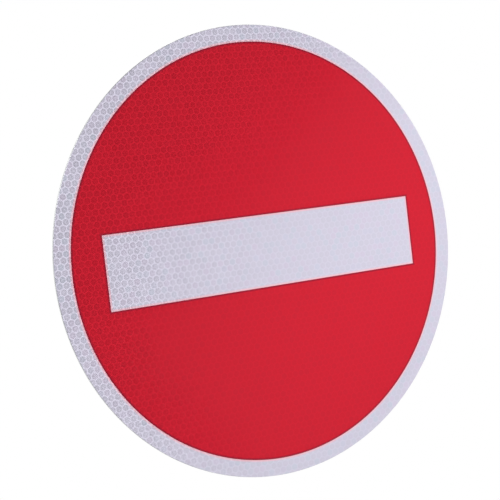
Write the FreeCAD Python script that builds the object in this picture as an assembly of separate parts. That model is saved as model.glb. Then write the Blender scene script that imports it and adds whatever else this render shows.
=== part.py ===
import FreeCAD, Part
import math
import os

# A round no entry sign: a flat aluminium plate, faced with white retroreflective sheeting and a red transparent
# film that leaves the bar open, and carried by two extruded rails riveted across its back. The rivets are
# countersunk under the sheeting, so nothing shows on the face.
#
# The sign stands upright. +Z is up, +Y runs rearwards along the disc's axis, and the face looks along -Y.
# The origin is the disc's centre, halfway through the sign's depth. All lengths are in millimetres.

# Plate
PLATE_DIAMETER = 400.0
PLATE_THICKNESS = 2.0
PLATE_EDGE_BREAK = 0.3            # deburred edge, front and back

# Face
SHEETING_THICKNESS = 0.4
RED_DIAMETER = 370.0
RED_FILM_THICKNESS = 0.1
BAR_LENGTH = 310.0
BAR_HEIGHT = 64.0

# Bolt that slides in a rail: an M8 hexagon head, kept from turning by the channel's walls
BOLT_SHANK_DIAMETER = 8.0
BOLT_HEAD_ACROSS_FLATS = 13.0
BOLT_HEAD_HEIGHT = 5.3
BOLT_SIDE_CLEARANCE = 0.5         # each side of the head and of the shank
BOLT_HEAD_ROOM = 2.2              # above the head, under the lips

# Rails
RAIL_SPACING = 180.0              # between the two centre lines
RAIL_LENGTH = 290.0
RAIL_FOOT_WIDTH = 13.0            # each foot, beside the channel
RAIL_FOOT_THICKNESS = 2.0         # the feet and the channel's floor
RAIL_WALL = 2.0
RAIL_LIP_THICKNESS = 2.5
RAIL_CORNER_RADIUS = 1.2          # outside, where wall turns into lip
RAIL_ROOT_RADIUS = 1.0            # where a wall stands on its foot
RAIL_EDGE_RADIUS = 0.4            # foot tips, lip edges and the channel's inside corners

# Rivets
RIVET_SHANK_DIAMETER = 4.0
RIVET_HOLE_CLEARANCE = 0.05       # on the radius, in the plate and in the feet
RIVET_HEAD_DIAMETER = 6.8
RIVET_HEAD_DEPTH = 1.4
RIVET_SET_HEAD_DIAMETER = 6.4     # the end pressed flat over the foot
RIVET_SET_HEAD_HEIGHT = 2.0
RIVET_SET_HEAD_EDGE_BREAK = 0.4   # where its side turns into its flat top
RIVET_END_DISTANCE = 20.0         # from a rail's end to its first rivet
RIVETS_IN_OUTER_FOOT = 3          # the inner foot has one less, halfway between them

# Sizes that follow
plate_radius = PLATE_DIAMETER / 2
channel_width = BOLT_HEAD_ACROSS_FLATS + 2 * BOLT_SIDE_CLEARANCE
channel_outside = channel_width + 2 * RAIL_WALL
mouth_width = BOLT_SHANK_DIAMETER + 2 * BOLT_SIDE_CLEARANCE
rail_width = channel_outside + 2 * RAIL_FOOT_WIDTH
rail_depth = RAIL_FOOT_THICKNESS + BOLT_HEAD_HEIGHT + BOLT_HEAD_ROOM + RAIL_LIP_THICKNESS
rivet_line = channel_outside / 2 + RAIL_FOOT_WIDTH / 2
rivet_pitch = (RAIL_LENGTH - 2 * RIVET_END_DISTANCE) / (RIVETS_IN_OUTER_FOOT - 1)

# Places along Y, from the rails' rear faces forwards to the red film's front
sign_depth = rail_depth + PLATE_THICKNESS + SHEETING_THICKNESS + RED_FILM_THICKNESS
rail_rear_y = sign_depth / 2
lip_front_y = rail_rear_y - RAIL_LIP_THICKNESS
plate_back_y = rail_rear_y - rail_depth
foot_rear_y = plate_back_y + RAIL_FOOT_THICKNESS
plate_front_y = plate_back_y - PLATE_THICKNESS
sheeting_front_y = plate_front_y - SHEETING_THICKNESS
film_front_y = sheeting_front_y - RED_FILM_THICKNESS

REARWARDS = FreeCAD.Vector(0, 1, 0)


def disc(radius, front_y, thickness):
    """A flat disc on the sign's axis, from front_y rearwards."""
    return Part.makeCylinder(radius, thickness, FreeCAD.Vector(0, front_y, 0), REARWARDS)


def turned(edges, x=0.0, z=0.0):
    """Turn a closed outline, drawn in the plane of X and Y beside the Y axis, about Y, and place it at x and z."""
    solid = Part.Face(Part.Wire(edges)).revolve(FreeCAD.Vector(), REARWARDS, 360)
    solid.translate(FreeCAD.Vector(x, 0, z))
    return solid


def straight_edges(points):
    """Edges through points given as radius and y, not closed."""
    ends = [FreeCAD.Vector(radius, y, 0) for radius, y in points]
    return [Part.LineSegment(a, b).toShape() for a, b in zip(ends, ends[1:])]


def rounded_outline(corners, x):
    """A closed outline in the plane at x. Each corner is z, y and the radius of the arc that rounds it."""
    places = [FreeCAD.Vector(x, y, z) for z, y, radius in corners]
    arcs = []
    for index, corner in enumerate(places):
        back = (places[index - 1] - corner).normalize()
        onward = (places[(index + 1) % len(places)] - corner).normalize()
        radius = corners[index][2]
        half_angle = back.getAngle(onward) / 2
        reach = radius / math.tan(half_angle)
        towards_centre = (back + onward).normalize()
        middle = corner + towards_centre * (radius / math.sin(half_angle) - radius)
        arcs.append((corner + back * reach, middle, corner + onward * reach))
    edges = []
    for index, (start, middle, end) in enumerate(arcs):
        edges.append(Part.Arc(start, middle, end).toShape())
        next_start = arcs[(index + 1) % len(arcs)][0]
        edges.append(Part.LineSegment(end, next_start).toShape())
    return Part.Wire(edges)


def rivet_places(side):
    """Centres, as x and z, of one rail's rivets. side is 1 for the upper rail and -1 for the lower one."""
    rail_z = side * RAIL_SPACING / 2
    first_x = -RAIL_LENGTH / 2 + RIVET_END_DISTANCE
    outer = [(first_x + n * rivet_pitch, rail_z + side * rivet_line) for n in range(RIVETS_IN_OUTER_FOOT)]
    inner = [
        (first_x + (n + 0.5) * rivet_pitch, rail_z - side * rivet_line)
        for n in range(RIVETS_IN_OUTER_FOOT - 1)
    ]
    return outer + inner


def rivet_hole(x, z):
    """What a rivet's hole takes out of the plate and a foot: a bore with a countersink at the plate's front."""
    bore_radius = RIVET_SHANK_DIAMETER / 2 + RIVET_HOLE_CLEARANCE
    mouth_radius = RIVET_HEAD_DIAMETER / 2 + RIVET_HOLE_CLEARANCE
    outline = [
        (0, plate_front_y),
        (mouth_radius, plate_front_y),
        (bore_radius, plate_front_y + RIVET_HEAD_DEPTH),
        (bore_radius, foot_rear_y),
        (0, foot_rear_y),
        (0, plate_front_y),
    ]
    return turned(straight_edges(outline), x, z)


def rivet(x, z):
    """A countersunk rivet, flush with the plate's front, its other end pressed to a flat head on the foot."""
    shank_radius = RIVET_SHANK_DIAMETER / 2
    set_head_radius = RIVET_SET_HEAD_DIAMETER / 2
    top_y = foot_rear_y + RIVET_SET_HEAD_HEIGHT
    outline = [
        (0, plate_front_y),
        (RIVET_HEAD_DIAMETER / 2, plate_front_y),
        (shank_radius, plate_front_y + RIVET_HEAD_DEPTH),
        (shank_radius, foot_rear_y),
        (set_head_radius, foot_rear_y),
        (set_head_radius, top_y - RIVET_SET_HEAD_EDGE_BREAK),
        (set_head_radius - RIVET_SET_HEAD_EDGE_BREAK, top_y),
        (0, top_y),
        (0, plate_front_y),
    ]
    return turned(straight_edges(outline), x, z)


def sign_plate():
    """The aluminium disc, with deburred edges and a countersunk hole for each rivet."""
    outline = [
        (0, plate_front_y),
        (plate_radius - PLATE_EDGE_BREAK, plate_front_y),
        (plate_radius, plate_front_y + PLATE_EDGE_BREAK),
        (plate_radius, plate_back_y - PLATE_EDGE_BREAK),
        (plate_radius - PLATE_EDGE_BREAK, plate_back_y),
        (0, plate_back_y),
        (0, plate_front_y),
    ]
    holes = [rivet_hole(x, z) for side in (1, -1) for x, z in rivet_places(side)]
    return turned(straight_edges(outline)).cut(holes)


def white_sheeting():
    """The white sheeting, over the whole front up to the edge break, and over the rivets' heads."""
    return disc(plate_radius - PLATE_EDGE_BREAK, sheeting_front_y, SHEETING_THICKNESS)


def red_overlay_film():
    """The red film, a disc with a window for the white bar."""
    corner = FreeCAD.Vector(-BAR_LENGTH / 2, film_front_y, -BAR_HEIGHT / 2)
    window = Part.makeBox(BAR_LENGTH, RED_FILM_THICKNESS, BAR_HEIGHT, corner)
    return disc(RED_DIAMETER / 2, film_front_y, RED_FILM_THICKNESS).cut(window)


def rail_corners():
    """The section of a rail, as corners of z, y and radius: two feet, a floor, two walls and two lips."""
    half = [
        (rail_width / 2, plate_back_y, RAIL_EDGE_RADIUS),
        (rail_width / 2, foot_rear_y, RAIL_EDGE_RADIUS),
        (channel_outside / 2, foot_rear_y, RAIL_ROOT_RADIUS),
        (channel_outside / 2, rail_rear_y, RAIL_CORNER_RADIUS),
        (mouth_width / 2, rail_rear_y, RAIL_EDGE_RADIUS),
        (mouth_width / 2, lip_front_y, RAIL_EDGE_RADIUS),
        (channel_width / 2, lip_front_y, RAIL_EDGE_RADIUS),
        (channel_width / 2, foot_rear_y, RAIL_EDGE_RADIUS),
    ]
    return half + [(-z, y, radius) for z, y, radius in reversed(half)]


def rail(side):
    """One extruded rail, with its rivet holes. side is 1 for the upper rail and -1 for the lower one."""
    section = Part.Face(rounded_outline(rail_corners(), -RAIL_LENGTH / 2))
    solid = section.extrude(FreeCAD.Vector(RAIL_LENGTH, 0, 0))
    solid.translate(FreeCAD.Vector(0, 0, side * RAIL_SPACING / 2))
    return solid.cut([rivet_hole(x, z) for x, z in rivet_places(side)])


def rail_rivets(side):
    """The rivets of one rail, as a group of separate solids."""
    return Part.makeCompound([rivet(x, z) for x, z in rivet_places(side)])


nodes = {
    "sign_plate": sign_plate(),
    "white_sheeting": white_sheeting(),
    "red_overlay_film": red_overlay_film(),
    "upper_rail": rail(1),
    "lower_rail": rail(-1),
    "upper_rail_rivets": rail_rivets(1),
    "lower_rail_rivets": rail_rivets(-1),
}

os.makedirs("parts", exist_ok=True)
for name, shape in nodes.items():
    shape.exportStep(f"parts/{name}.step")
    print(name, "solids", len(shape.Solids), "valid", shape.isValid(), "volume", round(shape.Volume, 1))
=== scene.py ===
"""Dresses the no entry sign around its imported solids: the prismatic face, the bare metal back and the studio.

The face is sheeting whose layer of tiny prisms is sealed in hexagonal cells. A cell answers a lamp like rough
metal, while the seal lines between the cells are mostly plain paint, so the honeycomb is marked where no lamp
is mirrored and fades where one nearly is. The red film lies on the sheeting, and the cells show through it.
Lengths are in metres. X runs along the bar, Z is up, and the face looks along -Y.
"""

import logging
import math
from collections.abc import Callable
from dataclasses import dataclass, field
from enum import Enum

import bpy
import numpy as np
from mathutils import Matrix, Vector
from mathutils.geometry import tessellate_polygon


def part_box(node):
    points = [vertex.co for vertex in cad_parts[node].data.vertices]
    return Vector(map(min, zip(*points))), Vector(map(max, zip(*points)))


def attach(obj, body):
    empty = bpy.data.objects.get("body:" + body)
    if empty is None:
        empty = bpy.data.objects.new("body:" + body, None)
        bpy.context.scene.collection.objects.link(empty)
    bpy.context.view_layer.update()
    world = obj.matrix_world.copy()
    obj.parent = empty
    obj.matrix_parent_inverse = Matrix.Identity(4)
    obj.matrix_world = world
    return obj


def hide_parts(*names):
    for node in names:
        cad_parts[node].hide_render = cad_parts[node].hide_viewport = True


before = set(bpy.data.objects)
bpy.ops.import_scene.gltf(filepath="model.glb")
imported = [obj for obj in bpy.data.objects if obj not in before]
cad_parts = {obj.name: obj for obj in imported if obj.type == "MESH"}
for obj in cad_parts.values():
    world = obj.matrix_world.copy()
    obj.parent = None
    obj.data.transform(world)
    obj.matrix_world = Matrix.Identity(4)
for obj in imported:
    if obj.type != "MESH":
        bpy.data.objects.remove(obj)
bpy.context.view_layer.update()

log = logging.getLogger("no_entry_sign")

MM = 0.001
SHARP_ANGLE = math.radians(30)
CORNER_POINTS = 5
Place = tuple[float, float, float]
Colour = tuple[float, float, float, float]
PLAIN_WHITE = (1.0, 1.0, 1.0, 1.0)


def colour(*levels: float) -> Colour:
    """Turn a colour in display values from 0 to 255 into the linear values that a shader takes.

    Args:
        levels: The red, green and blue display values.

    Returns:
        The linear red, green and blue, and full opacity.
    """
    shares = [level / 255 for level in levels]
    red, green, blue = (s / 12.92 if s <= 0.04045 else ((s + 0.055) / 1.055) ** 2.4 for s in shares)
    return (red, green, blue, 1.0)


class Value:
    """A number that varies over a surface. Its operators add the Math nodes that work it out."""

    def __init__(self, graph: "Graph", socket: bpy.types.NodeSocket) -> None:
        """Wrap one output socket of a node in the graph."""
        self.graph = graph
        self.socket = socket

    def __add__(self, other: "Value | float") -> "Value":
        """Return this value plus the other."""
        return self.graph.math("ADD", self, other)

    def __sub__(self, other: "Value | float") -> "Value":
        """Return this value less the other."""
        return self.graph.math("SUBTRACT", self, other)

    def __rsub__(self, other: float) -> "Value":
        """Return the number less this value."""
        return self.graph.math("SUBTRACT", other, self)

    def __mul__(self, other: "Value | float") -> "Value":
        """Return this value times the other."""
        return self.graph.math("MULTIPLY", self, other)

    def __truediv__(self, other: "Value | float") -> "Value":
        """Return this value divided by the other."""
        return self.graph.math("DIVIDE", self, other)

    def __abs__(self) -> "Value":
        """Return this value without its sign."""
        return self.graph.math("ABSOLUTE", self)

    __radd__ = __add__
    __rmul__ = __mul__

    def below(self, other: "Value | float") -> "Value":
        """Return 1 where this value is less than the other, and 0 elsewhere."""
        return self.graph.math("LESS_THAN", self, other)

    def least(self, other: "Value | float") -> "Value":
        """Return the smaller of this value and the other."""
        return self.graph.math("MINIMUM", self, other)

    def most(self, other: "Value | float") -> "Value":
        """Return the larger of this value and the other."""
        return self.graph.math("MAXIMUM", self, other)

    def reach(self, other: "Value") -> "Value":
        """Return the length of the flat vector that this value and the other make."""
        return self.graph.math("SQRT", self * self + other * other)

    def rounded(self) -> "Value":
        """Return the whole number nearest to this value."""
        return self.graph.math("ROUND", self)

    def wrapped(self, half: float) -> "Value":
        """Return this value brought into the range from -half to half by whole periods."""
        return self.graph.math("WRAP", self, half, -half)

    def rise(self, low: float, high: float) -> "Value":
        """Return 0 below low and 1 above high, with a smooth step between.

        Args:
            low: Where the step starts. It may lie above high, and then the step falls.
            high: Where the step ends.

        Returns:
            The step.
        """
        settings = {"interpolation_type": "SMOOTHSTEP"}
        inputs = {"Value": self, "From Min": low, "From Max": high}
        return Value(self.graph, self.graph.node("ShaderNodeMapRange", settings, inputs).outputs["Result"])

    def ramp(self, stops: list[tuple[float, float]]) -> "Value":
        """Return this value read off a curve.

        Args:
            stops: The curve's points, each a place from 0 to 1 and the value there.

        Returns:
            The value on the curve, eased between the points.
        """
        node = self.graph.node("ShaderNodeValToRGB", None, {"Fac": self})
        node.color_ramp.interpolation = "EASE"
        elements = node.color_ramp.elements
        while len(elements) < len(stops):
            elements.new(1.0)
        for element, (place, level) in zip(elements, stops):
            element.position = place
            element.color = (level, level, level, 1.0)
        return Value(self.graph, node.outputs["Color"])


class Graph:
    """The nodes of one material or of the world."""

    def __init__(self, tree: bpy.types.NodeTree) -> None:
        """Start from an empty node tree."""
        tree.nodes.clear()
        self.tree = tree

    def feed(self, socket: bpy.types.NodeSocket, source: object) -> None:
        """Link or set an input.

        Args:
            socket: The input.
            source: A value or a socket to link, or a number, a colour or a vector to set.
        """
        if isinstance(source, Value):
            self.tree.links.new(source.socket, socket)
        elif isinstance(source, bpy.types.NodeSocket):
            self.tree.links.new(source, socket)
        else:
            socket.default_value = source

    def node(self, kind: str, settings: dict | None = None, inputs: dict | None = None) -> bpy.types.Node:
        """Add a node.

        Args:
            kind: The node's type.
            settings: Its attributes, such as a Math node's operation.
            inputs: What its sockets take, by name or number, as feed takes it.

        Returns:
            The node.
        """
        made = self.tree.nodes.new(kind)
        for name, setting in (settings or {}).items():
            setattr(made, name, setting)
        for name, source in (inputs or {}).items():
            self.feed(made.inputs[name], source)
        return made

    def math(self, operation: str, *terms: Value | float) -> Value:
        """Add a Math node for an operation on the terms, and return its result."""
        node = self.node("ShaderNodeMath", {"operation": operation}, dict(enumerate(terms)))
        return Value(self, node.outputs[0])

    def mix(self, share: Value | float, first: object, second: object) -> bpy.types.NodeSocket:
        """Return the socket of the first colour mixed with a share of the second. Either may be a socket."""
        inputs = {0: share, 6: first, 7: second}
        return self.node("ShaderNodeMix", {"data_type": "RGBA"}, inputs).outputs[2]

    def place(
        self, middle: Place = (0.0, 0.0, 0.0), turn: float = 0.0, stretch: Place = (1.0, 1.0, 1.0)
    ) -> bpy.types.NodeSocket:
        """Give the place of a surface point, in the object's coordinates.

        Args:
            middle: The pattern's own origin.
            turn: How far the pattern is turned in the face's plane, in radians.
            stretch: How much larger the pattern is along each axis.

        Returns:
            The socket of the place, as the pattern sees it.
        """
        inputs = {
            "Vector": self.node("ShaderNodeTexCoord").outputs["Object"],
            "Location": middle,
            "Rotation": (0.0, -turn, 0.0),
            "Scale": stretch,
        }
        return self.node("ShaderNodeMapping", {"vector_type": "TEXTURE"}, inputs).outputs["Vector"]

    def parts(self, vector: bpy.types.NodeSocket) -> list[Value]:
        """Return a vector's X, Y and Z as values."""
        node = self.node("ShaderNodeSeparateXYZ", None, {"Vector": vector})
        return [Value(self, output) for output in node.outputs]

    def from_axis(self) -> Value:
        """Return how far a surface point lies from the sign's axis."""
        across, _, up = self.parts(self.place())
        return across.reach(up)

    def noise(self, place: bpy.types.NodeSocket, scale: float, detail: float) -> Value:
        """Return smooth noise from 0 to 1, with scale swellings to the metre and detail finer layers."""
        inputs = {"Vector": place, "Scale": scale, "Detail": detail}
        return Value(self, self.node("ShaderNodeTexNoise", None, inputs).outputs["Fac"])

    def seen(self, *kinds: str) -> Value:
        """Tell the rays of some kinds from the others.

        Args:
            kinds: What the rays are called, such as Camera or Glossy.

        Returns:
            1 for the rays of these kinds, and 0 for the others.
        """
        path = self.node("ShaderNodeLightPath").outputs
        first, *others = [Value(self, path[f"Is {kind} Ray"]) for kind in kinds]
        for other in others:
            first = first.most(other)
        return first

    def surface(self, inputs: dict) -> None:
        """End a material's graph in one Principled shader with these inputs."""
        shader = self.node("ShaderNodeBsdfPrincipled", None, inputs)
        self.node("ShaderNodeOutputMaterial", None, {"Surface": shader.outputs["BSDF"]})


def new_material(name: str) -> tuple[bpy.types.Material, Graph]:
    """Make an empty material.

    Args:
        name: The material's name.

    Returns:
        The material, and the graph that fills it.
    """
    material = bpy.data.materials.new(name)
    material.use_nodes = True
    return material, Graph(material.node_tree)


class Axis(Enum):
    """An axis in the plane of the face, as its column in an array of flat points."""

    ACROSS = 0
    UP = 1


@dataclass(frozen=True)
class RoundEdge:
    """A circle about the sign's axis that a flat net is cut along."""

    radius: float

    def distance(self, points: np.ndarray) -> np.ndarray:
        """Return how far outside the circle each point lies: its distance from the axis less the radius."""
        return np.hypot(*points.T) - self.radius

    def nearest(self, points: np.ndarray) -> np.ndarray:
        """Return each point moved straight from the axis on to the circle."""
        return points * (self.radius / np.hypot(*points.T))[:, None]


@dataclass(frozen=True)
class StraightEdge:
    """A line across or up the face that a flat net is cut along."""

    axis: Axis
    place: float

    def distance(self, points: np.ndarray) -> np.ndarray:
        """Return how far each point lies past the line, along the line's axis."""
        return points[:, self.axis.value] - self.place

    def nearest(self, points: np.ndarray) -> np.ndarray:
        """Return each point moved square on to the line."""
        return np.where(np.arange(2) == self.axis.value, self.place, points)


@dataclass
class FlatNet:
    """A net of triangles in the plane of X and Z. Each triangle runs anticlockwise as the face is seen."""

    points: np.ndarray
    triangles: np.ndarray

    SNAP = 0.12 * MM

    def split(self, edge: RoundEdge | StraightEdge) -> "FlatNet":
        """Cut every triangle that an edge crosses.

        A point closer to the edge than SNAP moves on to it. Every other triangle with corners on both sides
        has one corner alone on its side. The two sides that meet there are cut where the distance, taken as
        changing evenly along them, is zero. That leaves a triangle at the lone corner and a four-sided piece,
        cut in two.

        Args:
            edge: What to cut along.

        Returns:
            The net with no triangle on both sides of the edge.
        """
        points = self.points.copy()
        distance = edge.distance(points)
        close = np.abs(distance) < self.SNAP
        points[close] = edge.nearest(points[close])
        distance[close] = 0.0
        sides = np.sign(distance)[self.triangles]
        crossed = (sides.min(axis=1) < 0) & (sides.max(axis=1) > 0)
        cut, cut_sides = self.triangles[crossed], sides[crossed]
        lone_side = np.where(cut_sides.sum(axis=1) < 0, 1.0, -1.0)
        lone_corner = np.argmax(cut_sides == lone_side[:, None], axis=1)
        order = (lone_corner[:, None] + np.arange(3)) % 3
        lone, second, third = np.take_along_axis(cut, order, axis=1).T
        others = np.concatenate([second, third])
        pairs = np.sort(np.stack([np.tile(lone, 2), others], axis=1), axis=1)
        ends, which = np.unique(pairs, axis=0, return_inverse=True)
        start, stop = distance[ends[:, 0]], distance[ends[:, 1]]
        share = (start / (start - stop))[:, None]
        crossings = edge.nearest(points[ends[:, 0]] * (1 - share) + points[ends[:, 1]] * share)
        numbers = np.where(distance[others] == 0.0, others, len(points) + which.reshape(-1))
        to_second, to_third = numbers[: len(cut)], numbers[len(cut) :]
        pieces = np.concatenate([
            self.triangles[~crossed],
            np.stack([lone, to_second, to_third], 1),
            np.stack([to_second, second, third], 1),
            np.stack([to_second, third, to_third], 1),
        ])
        whole = (pieces != np.roll(pieces, 1, axis=1)).all(axis=1)
        return FlatNet(np.concatenate([points, crossings]), pieces[whole]).tidied()

    def kept(self, wanted: Callable[[np.ndarray], np.ndarray]) -> "FlatNet":
        """Return the net with only those triangles whose middles are wanted."""
        middles = self.points[self.triangles].mean(axis=1)
        return FlatNet(self.points, self.triangles[wanted(middles)]).tidied()

    def tidied(self) -> "FlatNet":
        """Return the net without the points that no triangle uses."""
        used, numbers = np.unique(self.triangles, return_inverse=True)
        return FlatNet(self.points[used], numbers.reshape(-1, 3))

    def rims(self) -> list[np.ndarray]:
        """Find the closed lines that bound the net.

        A side that only one triangle has is on a rim. Both rims run round the sign's axis, so their points
        are put in order by their angle about it. The outer rim's points are the ones furthest out.

        Returns:
            The point numbers along each rim, anticlockwise, the outer rim first.
        """
        sides = np.stack([self.triangles, np.roll(self.triangles, -1, axis=1)], axis=-1).reshape(-1, 2)
        ends, uses = np.unique(np.sort(sides, axis=1), axis=0, return_counts=True)
        rim = np.unique(ends[uses == 1])
        across, up = self.points[rim].T
        order = np.argsort(np.arctan2(up, across))
        rim, reach = rim[order], np.hypot(across, up)[order]
        outer = reach > reach.max() - self.SNAP
        return [part for part in (rim[outer], rim[~outer]) if len(part)]


@dataclass(frozen=True)
class Honeycomb:
    """The hexagonal cells of the sheeting, the same for the relief and for the colours.

    The cells' middles form a lattice of equal triangles. Each cell is a hexagon with two corners up and down,
    so it touches its neighbours along the bar with upright sides.
    """

    pitch: float = 5.92 * MM
    turn: float = math.radians(-0.2)
    middle: tuple[float, float] = (1.65 * MM, -0.43 * MM)
    seal_half_width: float = 0.19 * MM
    shoulder: float = 0.48 * MM
    swelling: float = 0.002 * MM

    CORNERS = 6
    SPARE_ROWS = 3
    MERGE_GRID = 0.01 * MM

    @property
    def row_spacing(self) -> float:
        """The distance between neighbouring rows of cells."""
        return self.pitch * math.sqrt(3) / 2

    @property
    def corner_radius(self) -> float:
        """The distance from a cell's middle to its corners."""
        return self.pitch / math.sqrt(3)

    def _turned(self, points: np.ndarray, angle: float) -> np.ndarray:
        """Return flat points turned anticlockwise about the origin."""
        cosine, sine = math.cos(angle), math.sin(angle)
        return points @ np.array([[cosine, sine], [-sine, cosine]])

    def offsets(self, points: np.ndarray) -> np.ndarray:
        """Give each point's place in its own cell.

        The lattice is two equal grids of rectangles, one pitch by two row spacings, set half a rectangle
        apart both ways. The nearer of the two nearest grid points is the middle of the cell.

        Args:
            points: Flat points on the face.

        Returns:
            Each point less the middle of its cell, in the turned axes.
        """
        period = np.array([self.pitch, 2 * self.row_spacing])
        local = self._turned(points - np.array(self.middle), -self.turn)
        first = local - period * np.round(local / period)
        second = local - period / 2
        second -= period * np.round(second / period)
        nearer = np.hypot(*second.T) < np.hypot(*first.T)
        return np.where(nearer[:, None], second, first)

    def sink(self, points: np.ndarray, depth: float) -> np.ndarray:
        """Say how far the surface lies below the tops of the cells.

        A seal line is pressed in by the depth over its own width and comes up to the cell along a smooth
        step. The cell swells towards its middle with the square of the distance from it.

        Args:
            points: Flat points on the face.
            depth: How deep the seal lines are pressed in.

        Returns:
            The depth at each point.
        """
        offset = np.abs(self.offsets(points))
        slanted = offset @ np.array([0.5, math.sqrt(3) / 2])
        from_seal = self.pitch / 2 - np.maximum(offset[:, 0], slanted)
        step = np.clip((from_seal - self.seal_half_width) / (self.shoulder - self.seal_half_width), 0, 1)
        from_middle = np.hypot(*offset.T) / self.corner_radius
        return depth * (1 - step * step * (3 - 2 * step)) + self.swelling * from_middle**2

    def net(self, reach: float) -> FlatNet:
        """Lay cells side by side as a net of triangles.

        Each cell has a point at its middle, a hexagon at the edge of its swollen top, a hexagon at the edge
        of the seal line, and the corners, which it shares with its neighbours. A hexagon's corners stand at
        odd multiples of 30 degrees, at the corner radius times its share of the cell's size. A fan of
        triangles fills the innermost one, and a strip of them joins each one to the next.

        Args:
            reach: How far from the sign's axis the cells go at least.

        Returns:
            The net, which goes past the reach by up to a few cells.
        """
        count = int(reach / self.row_spacing) + self.SPARE_ROWS
        along, up = np.meshgrid(np.arange(-2 * count, 2 * count + 1), np.arange(-count, count + 1))
        middles = np.stack([(along + up / 2) * self.pitch, up * self.row_spacing], axis=-1).reshape(-1, 2)
        middles = self._turned(middles, self.turn) + np.array(self.middle)
        middles = middles[np.hypot(*middles.T) < reach + self.pitch]
        angles = np.radians(np.arange(30, 390, 60)) + self.turn
        spokes = self.corner_radius * np.stack([np.cos(angles), np.sin(angles)], axis=1)
        shares = [1 - width / (self.pitch / 2) for width in (self.shoulder, self.seal_half_width, 0.0)]
        rings = np.array(shares)[:, None, None] * spokes[None]
        template = np.concatenate([np.zeros((1, 2)), rings.reshape(-1, 2)])
        points = (middles[:, None] + template[None]).reshape(-1, 2)
        here = np.arange(self.CORNERS)
        onward = np.roll(here, -1)
        fan = np.stack([np.zeros_like(here), 1 + here, 1 + onward], axis=1)
        strips = []
        for inner in (1, 1 + self.CORNERS):
            outer = inner + self.CORNERS
            strips.append(np.stack([inner + here, outer + here, outer + onward], axis=1))
            strips.append(np.stack([inner + here, outer + onward, inner + onward], axis=1))
        cell = np.concatenate([fan, *strips])
        starts = np.arange(len(middles)) * len(template)
        triangles = (starts[:, None, None] + cell[None]).reshape(-1, 3)
        grid = np.round(points / self.MERGE_GRID).astype(np.int64)
        _, first, shared = np.unique(grid, axis=0, return_index=True, return_inverse=True)
        return FlatNet(points[first], shared.reshape(-1)[triangles])


def flat_points(node: str) -> np.ndarray:
    """Read the points of a CAD node's mesh.

    Args:
        node: The node's name.

    Returns:
        The points, across and up.
    """
    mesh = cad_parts[node].data
    points = np.empty(3 * len(mesh.vertices), np.float32)
    mesh.vertices.foreach_get("co", points)
    return points.reshape(-1, 3)[:, [0, 2]].astype(float)


def filled(loops: list[np.ndarray], to_front: bool) -> np.ndarray:
    """Fill the flat area between closed lines with triangles.

    Args:
        loops: The lines, the outer one first. Each is the points along it, across and up.
        to_front: Whether the triangles look to the front, along -Y, or else to the back.

    Returns:
        The triangles, as numbers into all the loops' points put end to end.
    """
    flat = np.concatenate(loops)
    fill = np.array(tessellate_polygon([[Vector((x, z, 0.0)) for x, z in loop] for loop in loops]))
    a, b, c = (flat[fill[:, corner]] for corner in range(3))
    anticlockwise = (b[:, 0] - a[:, 0]) * (c[:, 1] - a[:, 1]) > (b[:, 1] - a[:, 1]) * (c[:, 0] - a[:, 0])
    turned = anticlockwise != to_front
    fill[turned] = fill[turned][:, ::-1]
    return fill


def bands(rings: np.ndarray) -> np.ndarray:
    """Join rings of points, each to the next one, with four-sided faces.

    The faces look outwards where the rings run anticlockwise as the face is seen and follow each other
    rearwards.

    Args:
        rings: The point numbers, one row for each ring.

    Returns:
        The faces.
    """
    onward = np.roll(rings, -1, axis=1)
    return np.stack([rings[:-1], rings[1:], onward[1:], onward[:-1]], axis=-1).reshape(-1, 4)


def walls(surfaces: list[np.ndarray]) -> list[list[int]]:
    """Join the rings of an outer surface, whose faces look outwards, and of the holes in it.

    Args:
        surfaces: Each surface's point numbers, one row for each ring, the outer surface first.

    Returns:
        The faces. Those of a hole look in to its middle.
    """
    outer, *holes = [bands(rings) for rings in surfaces]
    return np.concatenate([outer, *(faces[:, ::-1] for faces in holes)]).tolist()


def new_piece(
    name: str, points: np.ndarray, faces: list[list[int]], smooth: np.ndarray, node: str
) -> bpy.types.Object:
    """Make a mesh piece in a node's place, with sharp edges where its faces turn by over SHARP_ANGLE.

    Args:
        name: The piece's name.
        points: Its points, three numbers each.
        faces: Its faces, as point numbers.
        smooth: For each face, whether it is shaded smoothly.
        node: The CAD node that it replaces.

    Returns:
        The piece's object, which rides with the sign.
    """
    mesh = bpy.data.meshes.new(name)
    mesh.from_pydata(points.tolist(), [], faces)
    mesh.polygons.foreach_set("use_smooth", smooth)
    mesh.set_sharp_from_angle(angle=SHARP_ANGLE)
    mesh.update()
    piece = bpy.data.objects.new(name, mesh)
    bpy.context.scene.collection.objects.link(piece)
    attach(piece, "root")
    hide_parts(node)
    return piece


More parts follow.
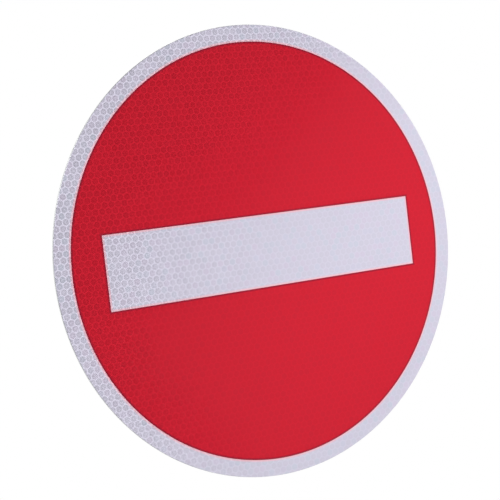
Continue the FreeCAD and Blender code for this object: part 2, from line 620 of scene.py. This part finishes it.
@dataclass(frozen=True)
class Layer:
    """One flat layer of the face: its CAD node, and how deep its seal lines are."""

    node: str
    seal_depth: float

    def piece(self, name: str, net: FlatNet, cells: Honeycomb, slot: str) -> bpy.types.Object:
        """Close a flat net into a layer with the cells in relief on its front.

        A front point lies behind the layer's front by the sink of the honeycomb. The walls join each rim to
        the same line on the flat back, and the back is filled between those lines.

        Args:
            name: The piece's name.
            net: The layer's outline, filled with the honeycomb's triangles.
            cells: The honeycomb.
            slot: The material's name. It is not used.

        Returns:
            The piece, which replaces the CAD node.
        """
        low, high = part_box(self.node)
        depth = low.y + cells.sink(net.points, self.seal_depth)
        front = np.insert(net.points, 1, depth, axis=1)
        rims = net.rims()
        rim_points = [net.points[rim] for rim in rims]
        back = np.insert(np.concatenate(rim_points), 1, high.y, axis=1)
        behind = np.split(len(front) + np.arange(len(back)), [len(rims[0])])
        fill = len(front) + filled(rim_points, to_front=False)
        sides = walls([np.stack(pair) for pair in zip(rims, behind)])
        faces = [*net.triangles.tolist(), *sides, *fill.tolist()]
        smooth = np.arange(len(faces)) < len(net.triangles)
        return new_piece(name, np.concatenate([front, back]), faces, smooth, self.node)


@dataclass(frozen=True)
class FilmOutline:
    """The red film's outline, read from its solid: the outer circle, and the opening that leaves the bar."""

    radius: float
    half_length: float
    half_height: float

    RIM_MARGIN = 1.0 * MM

    @classmethod
    def of_node(cls, node: str) -> "FilmOutline":
        """Measure the outline. The points of the film's mesh that aren't on its circle are the opening's.

        Args:
            node: The film's CAD node.

        Returns:
            The outline.
        """
        points = np.abs(flat_points(node))
        reach = np.hypot(*points.T)
        corner = points[reach < reach.max() - cls.RIM_MARGIN].max(axis=0)
        return cls(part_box(node)[1].x, float(corner[0]), float(corner[1]))

    def edges(self) -> list[StraightEdge]:
        """Return the four lines that bound the opening."""
        halves = ((Axis.ACROSS, self.half_length), (Axis.UP, self.half_height))
        return [StraightEdge(axis, side * half) for axis, half in halves for side in (-1, 1)]

    def outside(self, points: np.ndarray) -> np.ndarray:
        """Say which points lie outside the opening."""
        return (np.abs(points) > np.array([self.half_length, self.half_height])).any(axis=1)

    def distance(self, graph: Graph) -> Value:
        """Give how far a surface point lies off the film.

        Outside the circle, that is its distance from the axis less the radius. In the opening, it is the
        least distance to the sides. The larger of the two is positive off the film and negative on it.

        Args:
            graph: The graph of the material that uses it.

        Returns:
            The distance.
        """
        across, _, up = graph.parts(graph.place())
        inside = (self.half_length - abs(across)).least(self.half_height - abs(up))
        return (graph.from_axis() - self.radius).most(inside)


@dataclass(frozen=True)
class PrismFinish:
    """The look of the prismatic sheeting, bare or under a film.

    The prisms answer light like rough metal, so the face is a mix of that and plain paint. The seal lines
    have the seal share of the metal. A cell has up to the prism share more, most of all in a ring halfway
    out from its middle, and that differs from cell to cell. The paint goes from the seal's colour towards
    the prisms' with that same share, and a little further in the core of the cell. Some cells have one or
    both of the tints, a painted iridescent sheen. A thin line painted along the red film's cut edge stands
    for light there: off the film, where its side is 1, it is a painted glow, and on the film, where that is
    -1, a painted shade.

    RING and CORE are curves of the distance from a cell's middle, in pitches.
    """

    name: str
    seal: Colour
    prism: Colour
    first_iridescent_tint: Colour
    second_iridescent_tint: Colour
    seal_share: float
    prism_share: float
    iridescent_tint_share: float
    # The line's colour is painted light: a pale glow on the white sheeting, a dark shade on the red film.
    line: Colour
    edge_glow_and_shade_share: float
    edge_glow_and_shade_width: float
    edge_glow_and_shade_side: float

    ROUGHNESS = 0.37
    COAT_WEIGHT = 0.05
    COAT_ROUGHNESS = 0.1
    RING = [(0.0, 0.64), (0.1, 0.7), (0.24, 1.0), (0.37, 1.0), (0.47, 0.55), (0.57, 0.0)]
    CORE = [(0.0, 1.0), (0.15, 0.9), (0.3, 0.5), (0.42, 0.12), (0.5, 0.0)]
    CORE_SHARE = 0.12
    EVERY_CELL_SHARE = 0.78
    CHANCE_SHARE = 0.3
    PATCH_SHARE = 0.1
    PATCH_SCALE = 14.0
    PATCH_DETAIL = 1.0
    PATCH_RISE = (0.3, 0.7)
    FIRST_TINT_RISE = (0.55, 1.0)
    SECOND_TINT_RISE = (0.6, 1.0)
    FULL_SEAL = 0.6
    FULL_EDGE_GLOW_AND_SHADE = 0.4

    def material(self, cells: Honeycomb, film: FilmOutline) -> bpy.types.Material:
        """Make the material.

        Args:
            cells: The honeycomb.
            film: The red film's outline.

        Returns:
            The material.
        """
        material, graph = new_material(self.name)
        across, _, up = graph.parts(graph.place((cells.middle[0], 0.0, cells.middle[1]), cells.turn))
        first = (across.wrapped(cells.pitch / 2), up.wrapped(cells.row_spacing))
        second = (
            (across - cells.pitch / 2).wrapped(cells.pitch / 2),
            (up - cells.row_spacing).wrapped(cells.row_spacing),
        )
        nearer = second[0].reach(second[1]).below(first[0].reach(first[1]))
        offset_across = first[0] + nearer * (second[0] - first[0])
        offset_up = first[1] + nearer * (second[1] - first[1])
        slanted = abs(offset_across) * 0.5 + abs(offset_up) * (math.sqrt(3) / 2)
        from_seal = cells.pitch / 2 - abs(offset_across).most(slanted)
        from_middle = offset_across.reach(offset_up)
        column = ((across - offset_across) / (cells.pitch / 2)).rounded()
        row = ((up - offset_up) / cells.row_spacing).rounded()
        number = graph.node("ShaderNodeCombineXYZ", None, {"X": column, "Y": row})
        chance = graph.node("ShaderNodeTexWhiteNoise", None, {"Vector": number.outputs[0]})
        chances = graph.parts(chance.outputs["Color"])
        seal = from_seal.rise(cells.shoulder, self.FULL_SEAL * cells.seal_half_width)
        ring = (from_middle / cells.pitch).ramp(self.RING)
        core = (from_middle / cells.pitch).ramp(self.CORE)
        patch = graph.noise(graph.place(), self.PATCH_SCALE, self.PATCH_DETAIL).rise(*self.PATCH_RISE)
        cell = 1.0 - seal
        strength = self.EVERY_CELL_SHARE + self.CHANCE_SHARE * chances[0] + self.PATCH_SHARE * patch
        share = cell * ring * strength * self.prism_share
        paint = graph.mix(share + cell * core * self.CORE_SHARE, self.seal, self.prism)
        # Painted iridescent sheen: some cells get one or both tints, colour that stands in for the prisms'
        # rainbow glints.
        first_iridescent_tint = chances[1].rise(*self.FIRST_TINT_RISE)
        paint = graph.mix(cell * first_iridescent_tint * self.iridescent_tint_share, paint, self.first_iridescent_tint)
        second_iridescent_tint = chances[2].rise(*self.SECOND_TINT_RISE)
        paint = graph.mix(cell * second_iridescent_tint * self.iridescent_tint_share, paint, self.second_iridescent_tint)
        # Painted edge light: a pale glow beside the film on the white sheeting, a dark shade just inside its
        # edge on the red.
        past_edge = self.edge_glow_and_shade_side * film.distance(graph)
        line = past_edge.rise(self.edge_glow_and_shade_width, self.FULL_EDGE_GLOW_AND_SHADE * self.edge_glow_and_shade_width)
        paint = graph.mix(line * self.edge_glow_and_shade_share, paint, self.line)
        graph.surface({
            "Base Color": paint,
            "Metallic": share + self.seal_share,
            "Roughness": self.ROUGHNESS,
            "Specular IOR Level": 0.0,
            "Coat Weight": self.COAT_WEIGHT,
            "Coat Roughness": self.COAT_ROUGHNESS,
        })
        return material


@dataclass(frozen=True)
class MetalFinish:
    """Bare aluminium with streaks along the bar's direction, fine scratches and faint dull patches.

    The dullness is how far the whole surface has gone from the metal's colour to the dull one. Only a cut rim
    is bright.
    """

    name: str
    metal: Colour
    dull: Colour
    roughness: float
    streak_stretch: float
    streak_scale: float
    streak_height: float
    dullness: float = 0.0

    RIM_DEPTH = 0.5 * MM
    DETAIL = 6.0
    STREAK_SHARE = 0.6
    STREAK_ROUGHNESS = 0.14
    PATCH_SCALE = 30.0
    PATCH_RISE = (0.35, 0.75)
    PATCH_SHARE = 0.2
    PATCH_ROUGHNESS = 0.08
    SCRATCH_SCALE = 90.0
    SCRATCH_DETAIL = 3.0
    SCRATCH_STRETCH = (0.6, 1.0, 0.03)
    SCRATCH_TURN = 0.7
    SCRATCH_RISE = (0.68, 0.8)
    SCRATCH_SHARE = 0.3

    def material(self, rim_radius: float | None = None) -> bpy.types.Material:
        """Make the material.

        Streaks are noise drawn out along X. They vary the metal's colour, its roughness and a very low bump.
        The scratches are noise drawn out at a slant, of which only the peaks count.

        Args:
            rim_radius: Where a rim was cut, from the sign's axis, if the piece has one.

        Returns:
            The material.
        """
        material, graph = new_material(self.name)
        drawn_out = graph.place(stretch=(self.streak_stretch, 1.0, 1.0))
        streaks = graph.noise(drawn_out, self.streak_scale, self.DETAIL)
        patches = graph.noise(graph.place(), self.PATCH_SCALE, self.DETAIL).rise(*self.PATCH_RISE)
        slanted = graph.place(turn=self.SCRATCH_TURN, stretch=self.SCRATCH_STRETCH)
        scratches = graph.noise(slanted, self.SCRATCH_SCALE, self.SCRATCH_DETAIL).rise(*self.SCRATCH_RISE)
        share = self.dullness + self.STREAK_SHARE * streaks + self.PATCH_SHARE * patches
        share = share + self.SCRATCH_SHARE * scratches
        if rim_radius:
            share = share * graph.from_axis().rise(rim_radius, rim_radius - self.RIM_DEPTH)
        roughness = self.roughness + self.STREAK_ROUGHNESS * (streaks - 0.5) + self.PATCH_ROUGHNESS * patches
        bump = graph.node("ShaderNodeBump", None, {"Distance": self.streak_height, "Height": streaks})
        graph.surface({
            "Base Color": graph.mix(share, self.metal, self.dull),
            "Metallic": 1.0,
            "Roughness": roughness,
            "Normal": bump.outputs["Normal"],
        })
        return material


@dataclass
class SignFace:
    """The front of the sign: the white sheeting, and the red film round the white bar."""

    cells: Honeycomb = Honeycomb()
    sheeting: Layer = Layer("white_sheeting", 0.008 * MM)
    film: Layer = Layer("red_overlay_film", 0.006 * MM)
    outline: FilmOutline = field(default_factory=lambda: FilmOutline.of_node("red_overlay_film"))

    WHITE = PrismFinish(
        name="white_reflective_sheeting",
        seal=colour(219, 215, 232),
        prism=colour(208, 204, 220),
        # Pale pink and pale blue painted iridescent sheen for some cells.
        first_iridescent_tint=colour(225, 205, 232),
        second_iridescent_tint=colour(198, 217, 232),
        seal_share=0.04,
        prism_share=0.41,
        iridescent_tint_share=0.22,
        # A pale pink painted glow on the sheeting beside the film's cut edge.
        line=colour(252, 198, 210),
        edge_glow_and_shade_share=0.8,
        edge_glow_and_shade_width=2.2 * MM,
        edge_glow_and_shade_side=1.0,
    )
    RED = PrismFinish(
        name="red_transparent_film",
        seal=colour(216, 38, 56),
        prism=colour(200, 35, 51),
        # Painted iridescent sheen for some cells: a brighter and a darker red.
        first_iridescent_tint=colour(220, 30, 44),
        second_iridescent_tint=colour(196, 40, 58),
        seal_share=0.22,
        prism_share=0.27,
        iridescent_tint_share=0.12,
        # A dark painted shade along the film's cut edge.
        line=colour(130, 34, 56),
        edge_glow_and_shade_share=0.65,
        edge_glow_and_shade_width=2.2 * MM,
        edge_glow_and_shade_side=-1.0,
    )

    @staticmethod
    def _disc(net: FlatNet, radius: float) -> FlatNet:
        """Return the part of a net that lies inside a circle about the sign's axis."""
        edge = RoundEdge(radius)
        return net.split(edge).kept(lambda middles: edge.distance(middles) < 0)

    def build(self) -> list[bpy.types.Object]:
        """Build and dress both layers.

        Returns:
            The pieces.
        """
        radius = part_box(self.sheeting.node)[1].x
        net = self.cells.net(radius)
        film_net = self._disc(net, self.outline.radius)
        for side in self.outline.edges():
            film_net = film_net.split(side)
        film_net = film_net.kept(self.outline.outside)
        sheet = self.sheeting.piece("sheeting_front", self._disc(net, radius), self.cells, self.WHITE.name)
        film = self.film.piece("red_film", film_net, self.cells, self.RED.name)
        for piece, finish in ((sheet, self.WHITE), (film, self.RED)):
            piece.data.materials.append(finish.material(self.cells, self.outline))
        return [sheet, film]


@dataclass(frozen=True)
class Turned:
    """A surface turned about an axis along Y: its outline, as radius and y, from the front rearwards."""

    outline: list[tuple[float, float]]
    sides: int

    def rings(self, middle: np.ndarray) -> np.ndarray:
        """Turn the outline. A point's ring is its radius times cosine and sine across and up, at its y.

        Args:
            middle: Where the axis lies, across and up.

        Returns:
            The points, a row for each ring.
        """
        angles = np.linspace(0.0, 2 * math.pi, self.sides, endpoint=False)
        radius, depth = (column[:, None] for column in np.array(self.outline).T)
        across = middle[0] + radius * np.cos(angles)
        up = middle[1] + radius * np.sin(angles)
        return np.stack([across, np.broadcast_to(depth, across.shape), up], axis=-1)


def joined(shells: list[np.ndarray]) -> tuple[np.ndarray, list[np.ndarray]]:
    """Put the points of turned surfaces into one list.

    Args:
        shells: The points of each surface, a row for each ring.

    Returns:
        The points, and each surface's point numbers, a row for each ring.
    """
    points = np.concatenate([shell.reshape(-1, 3) for shell in shells])
    ends = np.cumsum([shell[..., 0].size for shell in shells])
    parts = np.split(np.arange(len(points)), ends[:-1])
    return points, [part.reshape(shell.shape[:2]) for part, shell in zip(parts, shells)]


def rounded_corner(radius: float, depth: float, size: float, start: float) -> list[tuple[float, float]]:
    """Round a corner of a turned outline with a quarter of a circle.

    Args:
        radius: The circle's middle, from the axis.
        depth: The circle's middle, along Y.
        size: The circle's radius.
        start: The angle where the quarter starts, in degrees, with 0 outwards and 90 rearwards.

    Returns:
        The points of the quarter.
    """
    angles = np.radians(start + np.linspace(0.0, 90.0, CORNER_POINTS))
    return [(radius + size * math.cos(angle), depth + size * math.sin(angle)) for angle in angles]


@dataclass
class SignBack:
    """The back of the sign: the bare plate, the two rails and their rivets.

    The plate and the rivets are turned finer than their solids, with rounded edges. The rails keep their
    solids.
    """

    PLATE = MetalFinish(
        name="mill_aluminium_plate",
        metal=(0.68, 0.69, 0.70, 1.0),
        dull=(0.38, 0.39, 0.41, 1.0),
        roughness=0.38,
        streak_stretch=30.0,
        streak_scale=240.0,
        streak_height=0.01 * MM,
        dullness=0.25,
    )
    RAIL = MetalFinish(
        name="extruded_aluminium",
        metal=(0.78, 0.79, 0.80, 1.0),
        dull=(0.60, 0.61, 0.62, 1.0),
        roughness=0.30,
        streak_stretch=80.0,
        streak_scale=900.0,
        streak_height=0.02 * MM,
    )
    RIVET = MetalFinish(
        name="aluminium_rivet",
        metal=(0.64, 0.65, 0.66, 1.0),
        dull=(0.46, 0.47, 0.48, 1.0),
        roughness=0.28,
        streak_stretch=1.0,
        streak_scale=600.0,
        streak_height=0.01 * MM,
    )

    edge_round: float = 0.3 * MM
    hole_mouth_radius: float = 3.45 * MM
    hole_radius: float = 2.05 * MM
    countersink_depth: float = 1.4 * MM
    rivet_head_radius: float = 3.4 * MM
    rivet_radius: float = 2.0 * MM
    set_head_radius: float = 3.2 * MM
    set_head_height: float = 2.0 * MM
    set_head_round: float = 0.7 * MM
    rivet_gap: float = 5.0 * MM

    RIM_SIDES = 720
    HOLE_SIDES = 48
    PLAIN_BANDS = 3

    def _middles(self, node: str) -> np.ndarray:
        """Find the rivets' middles.

        In order of X, a gap wider than the rivet gap parts the points of one rivet from those of the next.

        Args:
            node: The CAD node of one rail's rivets.

        Returns:
            The middles, across and up.
        """
        points = flat_points(node)
        points = points[np.argsort(points[:, 0])]
        ends = np.nonzero(np.diff(points[:, 0]) > self.rivet_gap)[0] + 1
        return np.array([(part.min(axis=0) + part.max(axis=0)) / 2 for part in np.split(points, ends)])

    def _plate(self, middles: np.ndarray) -> bpy.types.Object:
        """Build the plate: a rim with rounded edges, a countersunk hole for each rivet, and two flat faces.

        Args:
            middles: The rivets' middles, across and up.

        Returns:
            The piece, which replaces the CAD node.
        """
        low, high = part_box("sign_plate")
        radius = high.x - self.edge_round
        front_edge = rounded_corner(radius, low.y + self.edge_round, self.edge_round, -90.0)
        rear_edge = rounded_corner(radius, high.y - self.edge_round, self.edge_round, 0.0)
        rim = Turned(front_edge + rear_edge, self.RIM_SIDES).rings(np.zeros(2))
        mouth, bore = self.hole_mouth_radius, self.hole_radius
        outline = [(mouth, low.y), (bore, low.y + self.countersink_depth), (bore, high.y)]
        hole = Turned(outline, self.HOLE_SIDES)
        points, numbers = joined([rim, *(hole.rings(middle) for middle in middles)])
        faces = walls(numbers)
        smooth_count = len(faces)
        for ring, to_front in ((0, True), (-1, False)):
            loops = [part[ring] for part in numbers]
            fill = filled([points[loop][:, [0, 2]] for loop in loops], to_front)
            faces += np.concatenate(loops)[fill].tolist()
        smooth = np.arange(len(faces)) < smooth_count
        return new_piece("plate", points, faces, smooth, "sign_plate")

    def _rivets(self, node: str, middles: np.ndarray) -> bpy.types.Object:
        """Build one rail's rivets: a countersunk head, a shank, and a set head with a rounded edge.

        The plain bands are the countersink, the shank and the set head's flat underside. Those after them are
        shaded smoothly.

        Args:
            node: The CAD node of the rail's rivets.
            middles: The rivets' middles, across and up.

        Returns:
            The piece, which replaces the CAD node.
        """
        low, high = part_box(node)
        foot = high.y - self.set_head_height
        size = self.set_head_round
        outline = [
            (self.rivet_head_radius, low.y),
            (self.rivet_radius, low.y + self.countersink_depth),
            (self.rivet_radius, foot),
            (self.set_head_radius, foot),
            *rounded_corner(self.set_head_radius - size, high.y - size, size, 0.0),
        ]
        rivet = Turned(outline, self.HOLE_SIDES)
        points, numbers = joined([rivet.rings(middle) for middle in middles])
        faces, smooth = [], []
        for ids in numbers:
            wall = bands(ids).tolist()
            faces += [*wall, ids[0].tolist(), ids[-1][::-1].tolist()]
            smooth += [number >= self.PLAIN_BANDS * self.HOLE_SIDES for number in range(len(wall))]
            smooth += [False, False]
        return new_piece(f"turned_{node}", points, faces, np.array(smooth), node)

    def build(self) -> list[bpy.types.Object]:
        """Build the plate and the rivets, and dress them and the rails.

        Returns:
            The pieces.
        """
        plate = self.PLATE.material(rim_radius=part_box("sign_plate")[1].x)
        rail, rivet = self.RAIL.material(), self.RIVET.material()
        nodes = ("upper_rail_rivets", "lower_rail_rivets")
        middles = [self._middles(node) for node in nodes]
        dressed = [(self._plate(np.concatenate(middles)), plate)]
        dressed += [(self._rivets(node, places), rivet) for node, places in zip(nodes, middles)]
        dressed += [(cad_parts[node], rail) for node in ("upper_rail", "lower_rail")]
        for piece, material in dressed:
            piece.data.materials.clear()
            piece.data.materials.append(material)
        return [piece for piece, _ in dressed]


@dataclass(frozen=True)
class Softbox:
    """An area lamp that looks at the sign's middle. Its level is its panel's radiance, where 1 is white."""

    name: str
    heading: float
    height: float
    distance: float
    panel: tuple[float, float]
    level: float
    turn: float = 0.0

    def build(self) -> None:
        """Place the lamp, turned in its panel's plane. Its power is its radiance times pi times its area."""
        data = bpy.data.lights.new(self.name, "AREA")
        data.shape = "RECTANGLE"
        data.size, data.size_y = self.panel
        data.energy = self.level * math.pi * self.panel[0] * self.panel[1]
        lamp = bpy.data.objects.new(self.name, data)
        angle = math.radians(self.heading)
        place = Vector((math.sin(angle) * self.distance, -math.cos(angle) * self.distance, self.height))
        stance = (-place).to_track_quat("-Z", "Y").to_matrix().to_4x4()
        turned = Matrix.Rotation(math.radians(self.turn), 4, "Z")
        lamp.matrix_world = Matrix.Translation(place) @ stance @ turned
        bpy.context.scene.collection.objects.link(lamp)


@dataclass
class Studio:
    """A pale floor, soft lamps, and a world with a white backdrop, a dimmer ceiling and a dim room."""

    floor_height: float = -0.75
    floor_radius: float = 1.4
    room_level: float = 0.04
    fill_level: float = 0.49
    lamps: tuple[Softbox, ...] = (
        Softbox("right_softbox", 45.5, height=0.12, distance=2.2, panel=(0.8, 2.27), level=1.68, turn=-46.0),
        Softbox("left_softbox", -45.0, height=1.4, distance=2.6, panel=(1.4, 1.4), level=8.0),
        Softbox("rear_softbox", 150.0, height=1.8, distance=2.6, panel=(1.5, 1.5), level=2.5),
    )

    BACKDROP_RISE = (-0.7, 0.1)
    CEILING_RISE = (0.35, 0.9)
    CEILING_DIMNESS = 0.6
    FLOOR_SIDES = 96
    FLOOR_COLOUR = (0.9, 0.9, 0.9, 1.0)
    FLOOR_FADE = (0.3, 0.85)
    FLOOR_PLAIN_SHARE = 0.6

    def build(self) -> None:
        """Build the world, the floor and the lamps."""
        self._world()
        self._floor()
        for lamp in self.lamps:
            lamp.build()

    def _world(self) -> None:
        """Make the world.

        The camera sees it white. Gloss sees it white behind the sign, dimmer overhead and dim in the room in
        front. What is lit by it gets the fill level from all sides.
        """
        world = bpy.data.worlds.new("studio")
        bpy.context.scene.world = world
        world.use_nodes = True
        graph = Graph(world.node_tree)
        direct = graph.seen("Camera", "Transmission")
        _, depth, height = graph.parts(graph.node("ShaderNodeTexCoord").outputs["Generated"])
        ceiling = self.CEILING_DIMNESS * height.rise(*self.CEILING_RISE)
        backdrop = depth.rise(*self.BACKDROP_RISE) * (1.0 - ceiling)
        mirrored = self.room_level + (1.0 - self.room_level) * backdrop
        level = self.fill_level + graph.seen("Glossy") * (mirrored - self.fill_level)
        level = level + direct * (1.0 - level)
        background = graph.node("ShaderNodeBackground", None, {"Color": PLAIN_WHITE, "Strength": level})
        graph.node("ShaderNodeOutputWorld", None, {"Surface": background.outputs[0]})

    def _floor(self) -> None:
        """Lay a pale round floor.

        Near its middle the camera and gloss see it part lit, so it keeps the sign's shadow. Towards its rim
        they see more and more of plain white, so it ends in the white backdrop with no line.
        """
        angles = np.linspace(0.0, 2 * math.pi, self.FLOOR_SIDES, endpoint=False)
        flat = self.floor_radius * np.stack([np.cos(angles), np.sin(angles)], axis=1)
        rim = np.insert(flat, 2, self.floor_height, axis=1)
        mesh = bpy.data.meshes.new("floor")
        mesh.from_pydata(rim.tolist(), [], [list(range(self.FLOOR_SIDES))])
        floor = bpy.data.objects.new("floor", mesh)
        bpy.context.scene.collection.objects.link(floor)
        material, graph = new_material("pale_floor")
        across, depth, _ = graph.parts(graph.place())
        outwards = (across.reach(depth) / self.floor_radius).rise(*self.FLOOR_FADE)
        plain_share = self.FLOOR_PLAIN_SHARE + (1.0 - self.FLOOR_PLAIN_SHARE) * outwards
        lit = graph.node("ShaderNodeBsdfDiffuse", None, {"Color": self.FLOOR_COLOUR})
        plain = graph.node("ShaderNodeEmission", None, {"Color": PLAIN_WHITE, "Strength": 1.0})
        seen = graph.seen("Camera", "Glossy", "Transmission")
        inputs = {0: seen * plain_share, 1: lit.outputs[0], 2: plain.outputs[0]}
        mixed = graph.node("ShaderNodeMixShader", None, inputs)
        graph.node("ShaderNodeOutputMaterial", None, {"Surface": mixed.outputs[0]})
        mesh.materials.append(material)


@dataclass(frozen=True)
class PhotoCamera:
    """The camera, placed by the point that it looks at and its angles in degrees."""

    aim: Place = (-18.2 * MM, -7.25 * MM, 2.6 * MM)
    distance: float = 1.086
    heading: float = 28.72
    dip: float = 2.67
    roll: float = -6.78
    lens: float = 88.92
    near_limit: float = 0.05

    def build(self) -> None:
        """Make the camera: it looks along +Y, is turned to the right by its heading, dipped and rolled."""
        data = bpy.data.cameras.new("photo_camera")
        data.lens = self.lens
        data.clip_start = self.near_limit
        camera = bpy.data.objects.new("photo_camera", data)
        turned = Matrix.Rotation(-math.radians(self.heading), 4, "Z")
        dipped = Matrix.Rotation(math.radians(90.0 - self.dip), 4, "X")
        rolled = Matrix.Rotation(math.radians(self.roll), 4, "Z")
        stance = turned @ dipped @ rolled
        place = Vector(self.aim) + stance @ Vector((0.0, 0.0, self.distance))
        camera.matrix_world = Matrix.Translation(place) @ stance
        bpy.context.scene.collection.objects.link(camera)
        bpy.context.scene.camera = camera


def main() -> None:
    """Build the studio, the camera and the sign, and report each piece."""
    logging.basicConfig(level=logging.INFO, format="%(message)s")
    bpy.context.scene.view_settings.view_transform = "Standard"
    Studio().build()
    PhotoCamera().build()
    for assembly in (SignFace(), SignBack()):
        for piece in assembly.build():
            log.info("%s: %s has %d faces", type(assembly).__name__, piece.name, len(piece.data.polygons))


if __name__ == "__main__":
    main()
